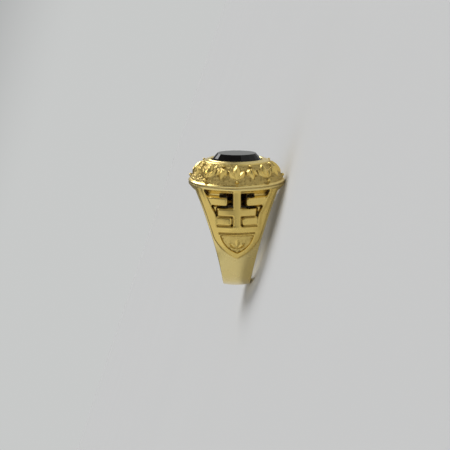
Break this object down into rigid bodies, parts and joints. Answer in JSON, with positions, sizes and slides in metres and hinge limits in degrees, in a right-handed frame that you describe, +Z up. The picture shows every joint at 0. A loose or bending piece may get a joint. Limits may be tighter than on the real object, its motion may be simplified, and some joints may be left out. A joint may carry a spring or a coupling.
{
  "type": "signet-style finger ring with an oval faceted black onyx stone",
  "caption": "Heavy cast ring with flared shoulders, pierced bar-work side panels, an ornamented band round an oval head, and a flush-set faceted oval black stone",
  "frame": {"origin": "Middle of the footprint of the ring lying on its side, on the surface it rests on", "axes": "X runs from the back of the shank towards the stone, Y across the shoulders, Z up from the surface. The finger axis leans from Z by the rest tilt, towards the back of the shank going up."},
  "size_m": [0.0272, 0.0234, 0.0186],
  "materials": {
    "yellow_metal": "polished shank, satin cast relief, darkened recesses",
    "black_stone": "polished, opaque black"
  },
  "bodies": {
    "root": {"cast_ring": "yellow_metal", "onyx_stone": "black_stone"}
  },
  "joints": []
}
